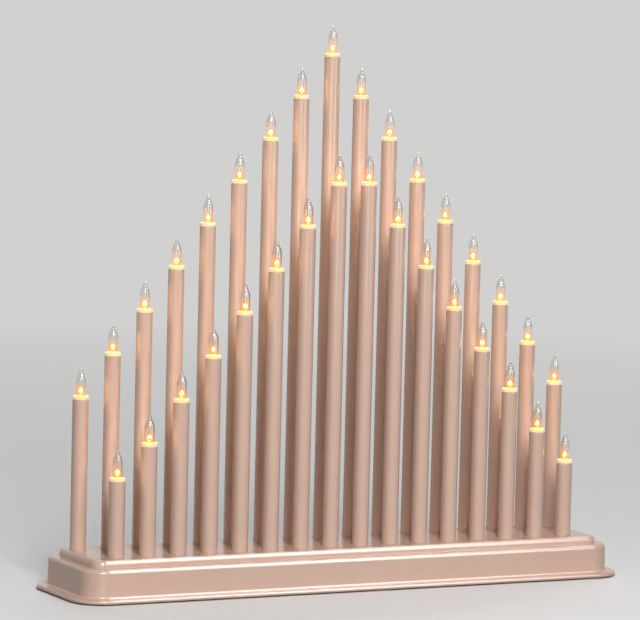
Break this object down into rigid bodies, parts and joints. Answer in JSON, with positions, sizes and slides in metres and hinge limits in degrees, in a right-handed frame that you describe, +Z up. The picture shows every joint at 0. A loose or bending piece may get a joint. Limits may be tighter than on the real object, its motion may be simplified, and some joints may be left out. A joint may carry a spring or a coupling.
{
  "type": "electric advent candlestick",
  "caption": "Electric window candlestick: two rows of straight plastic candles rising to a peak on a long low base, each with a small clear pointed push-in lamp.",
  "frame": {"origin": "on the table, under the middle of the base", "axes": "+X along the candle rows to the right, +Y to the back row, +Z up; the front faces -Y"},
  "size_m": [0.454, 0.106, 0.4176],
  "materials": {
    "shell_plastic": "pale champagne pearl, glossy moulded plastic",
    "candle_plastic": "pale champagne pearl, satin gloss tube",
    "lamp_glass": "clear lamp glass",
    "lamp_collar": "ivory plastic, lit through by the lamp",
    "lamp_wire": "thin lead wire",
    "cover_plastic": "satin moulded plastic",
    "pad_rubber": "matt rubber pad",
    "bush_plastic": "satin plastic bush",
    "terminal_plastic": "plain terminal block",
    "wire_sleeve": "pale wire sleeve"
  },
  "bodies": {
    "base": {"base_shell": "shell_plastic", "bottom_cover": "cover_plastic", "pad_1": "pad_rubber", "pad_2": "pad_rubber", "pad_3": "pad_rubber", "pad_4": "pad_rubber", "lead_bushing": "bush_plastic", "terminal_block": "terminal_plastic", "wiring": "wire_sleeve", "candle_middle": "candle_plastic", "candle_pair_01": "candle_plastic", "candle_pair_02": "candle_plastic", "candle_pair_03": "candle_plastic", "candle_pair_04": "candle_plastic", "candle_pair_05": "candle_plastic", "candle_pair_06": "candle_plastic", "candle_pair_07": "candle_plastic", "candle_pair_08": "candle_plastic", "candle_pair_09": "candle_plastic", "candle_pair_10": "candle_plastic", "candle_pair_11": "candle_plastic", "candle_pair_12": "candle_plastic", "candle_pair_13": "candle_plastic", "candle_pair_14": "candle_plastic", "candle_pair_15": "candle_plastic", "candle_pair_16": "candle_plastic"},
    "lamp_back_01": {"lamp_back_01": "lamp_glass"},
    "lamp_back_02": {"lamp_back_02": "lamp_glass"},
    "lamp_back_03": {"lamp_back_03": "lamp_glass"},
    "lamp_back_04": {"lamp_back_04": "lamp_glass"},
    "lamp_back_05": {"lamp_back_05": "lamp_glass"},
    "lamp_back_06": {"lamp_back_06": "lamp_glass"},
    "lamp_back_07": {"lamp_back_07": "lamp_glass"},
    "lamp_back_08": {"lamp_back_08": "lamp_glass"},
    "lamp_back_09": {"lamp_back_09": "lamp_glass"},
    "lamp_back_10": {"lamp_back_10": "lamp_glass"},
    "lamp_back_11": {"lamp_back_11": "lamp_glass"},
    "lamp_back_12": {"lamp_back_12": "lamp_glass"},
    "lamp_back_13": {"lamp_back_13": "lamp_glass"},
    "lamp_back_14": {"lamp_back_14": "lamp_glass"},
    "lamp_back_15": {"lamp_back_15": "lamp_glass"},
    "lamp_back_16": {"lamp_back_16": "lamp_glass"},
    "lamp_back_17": {"lamp_back_17": "lamp_glass"},
    "lamp_front_01": {"lamp_front_01": "lamp_glass"},
    "lamp_front_02": {"lamp_front_02": "lamp_glass"},
    "lamp_front_03": {"lamp_front_03": "lamp_glass"},
    "lamp_front_04": {"lamp_front_04": "lamp_glass"},
    "lamp_front_05": {"lamp_front_05": "lamp_glass"},
    "lamp_front_06": {"lamp_front_06": "lamp_glass"},
    "lamp_front_07": {"lamp_front_07": "lamp_glass"},
    "lamp_front_08": {"lamp_front_08": "lamp_glass"},
    "lamp_front_09": {"lamp_front_09": "lamp_glass"},
    "lamp_front_10": {"lamp_front_10": "lamp_glass"},
    "lamp_front_11": {"lamp_front_11": "lamp_glass"},
    "lamp_front_12": {"lamp_front_12": "lamp_glass"},
    "lamp_front_13": {"lamp_front_13": "lamp_glass"},
    "lamp_front_14": {"lamp_front_14": "lamp_glass"},
    "lamp_front_15": {"lamp_front_15": "lamp_glass"},
    "lamp_front_16": {"lamp_front_16": "lamp_glass"}
  },
  "joints": [
    {"name": "pull_back_01", "type": "slide", "parent": "base", "child": "lamp_back_01", "axis": [0, 0, 1], "range_m": [0, 0.0135]},
    {"name": "pull_back_02", "type": "slide", "parent": "base", "child": "lamp_back_02", "axis": [0, 0, 1], "range_m": [0, 0.0135]},
    {"name": "pull_back_03", "type": "slide", "parent": "base", "child": "lamp_back_03", "axis": [0, 0, 1], "range_m": [0, 0.0135]},
    {"name": "pull_back_04", "type": "slide", "parent": "base", "child": "lamp_back_04", "axis": [0, 0, 1], "range_m": [0, 0.0135]},
    {"name": "pull_back_05", "type": "slide", "parent": "base", "child": "lamp_back_05", "axis": [0, 0, 1], "range_m": [0, 0.0135]},
    {"name": "pull_back_06", "type": "slide", "parent": "base", "child": "lamp_back_06", "axis": [0, 0, 1], "range_m": [0, 0.0135]},
    {"name": "pull_back_07", "type": "slide", "parent": "base", "child": "lamp_back_07", "axis": [0, 0, 1], "range_m": [0, 0.0135]},
    {"name": "pull_back_08", "type": "slide", "parent": "base", "child": "lamp_back_08", "axis": [0, 0, 1], "range_m": [0, 0.0135]},
    {"name": "pull_back_09", "type": "slide", "parent": "base", "child": "lamp_back_09", "axis": [0, 0, 1], "range_m": [0, 0.0135]},
    {"name": "pull_back_10", "type": "slide", "parent": "base", "child": "lamp_back_10", "axis": [0, 0, 1], "range_m": [0, 0.0135]},
    {"name": "pull_back_11", "type": "slide", "parent": "base", "child": "lamp_back_11", "axis": [0, 0, 1], "range_m": [0, 0.0135]},
    {"name": "pull_back_12", "type": "slide", "parent": "base", "child": "lamp_back_12", "axis": [0, 0, 1], "range_m": [0, 0.0135]},
    {"name": "pull_back_13", "type": "slide", "parent": "base", "child": "lamp_back_13", "axis": [0, 0, 1], "range_m": [0, 0.0135]},
    {"name": "pull_back_14", "type": "slide", "parent": "base", "child": "lamp_back_14", "axis": [0, 0, 1], "range_m": [0, 0.0135]},
    {"name": "pull_back_15", "type": "slide", "parent": "base", "child": "lamp_back_15", "axis": [0, 0, 1], "range_m": [0, 0.0135]},
    {"name": "pull_back_16", "type": "slide", "parent": "base", "child": "lamp_back_16", "axis": [0, 0, 1], "range_m": [0, 0.0135]},
    {"name": "pull_back_17", "type": "slide", "parent": "base", "child": "lamp_back_17", "axis": [0, 0, 1], "range_m": [0, 0.0135]},
    {"name": "pull_front_01", "type": "slide", "parent": "base", "child": "lamp_front_01", "axis": [0, 0, 1], "range_m": [0, 0.0135]},
    {"name": "pull_front_02", "type": "slide", "parent": "base", "child": "lamp_front_02", "axis": [0, 0, 1], "range_m": [0, 0.0135]},
    {"name": "pull_front_03", "type": "slide", "parent": "base", "child": "lamp_front_03", "axis": [0, 0, 1], "range_m": [0, 0.0135]},
    {"name": "pull_front_04", "type": "slide", "parent": "base", "child": "lamp_front_04", "axis": [0, 0, 1], "range_m": [0, 0.0135]},
    {"name": "pull_front_05", "type": "slide", "parent": "base", "child": "lamp_front_05", "axis": [0, 0, 1], "range_m": [0, 0.0135]},
    {"name": "pull_front_06", "type": "slide", "parent": "base", "child": "lamp_front_06", "axis": [0, 0, 1], "range_m": [0, 0.0135]},
    {"name": "pull_front_07", "type": "slide", "parent": "base", "child": "lamp_front_07", "axis": [0, 0, 1], "range_m": [0, 0.0135]},
    {"name": "pull_front_08", "type": "slide", "parent": "base", "child": "lamp_front_08", "axis": [0, 0, 1], "range_m": [0, 0.0135]},
    {"name": "pull_front_09", "type": "slide", "parent": "base", "child": "lamp_front_09", "axis": [0, 0, 1], "range_m": [0, 0.0135]},
    {"name": "pull_front_10", "type": "slide", "parent": "base", "child": "lamp_front_10", "axis": [0, 0, 1], "range_m": [0, 0.0135]},
    {"name": "pull_front_11", "type": "slide", "parent": "base", "child": "lamp_front_11", "axis": [0, 0, 1], "range_m": [0, 0.0135]},
    {"name": "pull_front_12", "type": "slide", "parent": "base", "child": "lamp_front_12", "axis": [0, 0, 1], "range_m": [0, 0.0135]},
    {"name": "pull_front_13", "type": "slide", "parent": "base", "child": "lamp_front_13", "axis": [0, 0, 1], "range_m": [0, 0.0135]},
    {"name": "pull_front_14", "type": "slide", "parent": "base", "child": "lamp_front_14", "axis": [0, 0, 1], "range_m": [0, 0.0135]},
    {"name": "pull_front_15", "type": "slide", "parent": "base", "child": "lamp_front_15", "axis": [0, 0, 1], "range_m": [0, 0.0135]},
    {"name": "pull_front_16", "type": "slide", "parent": "base", "child": "lamp_front_16", "axis": [0, 0, 1], "range_m": [0, 0.0135]}
  ]
}
